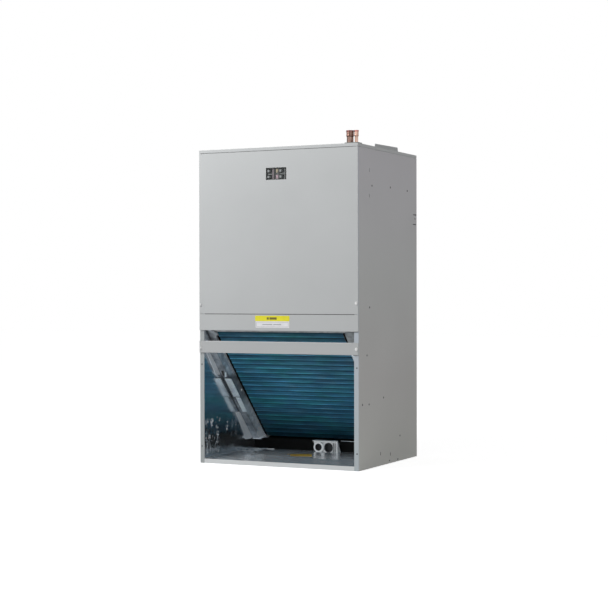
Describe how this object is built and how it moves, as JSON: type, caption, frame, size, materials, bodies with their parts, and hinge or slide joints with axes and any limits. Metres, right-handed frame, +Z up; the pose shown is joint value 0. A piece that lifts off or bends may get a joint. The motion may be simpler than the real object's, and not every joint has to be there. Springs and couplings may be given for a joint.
{
  "type": "air handling unit",
  "caption": "Upright sheet-metal air handling unit with an open front return, slanted finned coil, drain pan, top supply outlet, line stubs and breaker switches.",
  "frame": {"origin": "middle of the base, on the floor it stands on", "axes": "+Z up, the open front and the front panels face -Y, the line stubs are on the +X side"},
  "size_m": [0.508, 0.438, 0.953],
  "materials": {
    "cabinet_paint": "satin powder coat",
    "galvanised_steel": "spangled zinc",
    "foil_liner": "mirror-like foil with fine wrinkles",
    "coated_fins": "blue hydrophilic coating",
    "pan_plastic": "black, semi-gloss",
    "fitting_plastic": "white moulded plastic",
    "breaker_case": "black moulded plastic",
    "breaker_toggle": "grey moulded plastic",
    "motor_paint": "black paint",
    "copper": "bright copper tube"
  },
  "bodies": {
    "cabinet": {"base_panel": "cabinet_paint", "left_side_panel": "cabinet_paint", "right_side_panel": "cabinet_paint", "back_panel": "cabinet_paint", "top_panel": "cabinet_paint", "upper_front_panel": "cabinet_paint", "filter_panel": "cabinet_paint", "cross_rail": "cabinet_paint", "pipe_plate": "cabinet_paint", "mid_rail": "galvanised_steel", "control_plate": "galvanised_steel", "left_coil_end_plate": "galvanised_steel", "right_coil_end_plate": "galvanised_steel", "coil_top_baffle": "galvanised_steel", "left_coil_clips": "galvanised_steel", "right_coil_clips": "galvanised_steel", "blower_housing": "galvanised_steel", "blower_deck": "galvanised_steel", "blower_wheel": "galvanised_steel", "motor_bracket": "galvanised_steel", "floor_liner_pad": "foil_liner", "left_liner": "foil_liner", "right_liner": "foil_liner", "back_liner": "foil_liner", "coil_fins": "coated_fins", "drain_pan": "pan_plastic", "drain_fitting": "fitting_plastic", "left_breaker": "breaker_case", "right_breaker": "breaker_case", "blower_motor": "motor_paint", "suction_stub": "copper", "liquid_stub": "copper"},
    "left_switch": {"left_breaker_handle": "breaker_toggle"},
    "right_switch": {"right_breaker_handle": "breaker_toggle"}
  },
  "joints": [
    {"name": "left_switch_throw", "type": "hinge", "parent": "cabinet", "child": "left_switch", "pos_m": [-0.0234, -0.205, 0.8375], "axis": [0, 0, 1], "range_deg": [0, 30]},
    {"name": "right_switch_throw", "type": "hinge", "parent": "cabinet", "child": "right_switch", "pos_m": [0.0153, -0.205, 0.8375], "axis": [0, 0, 1], "range_deg": [0, 30]}
  ]
}
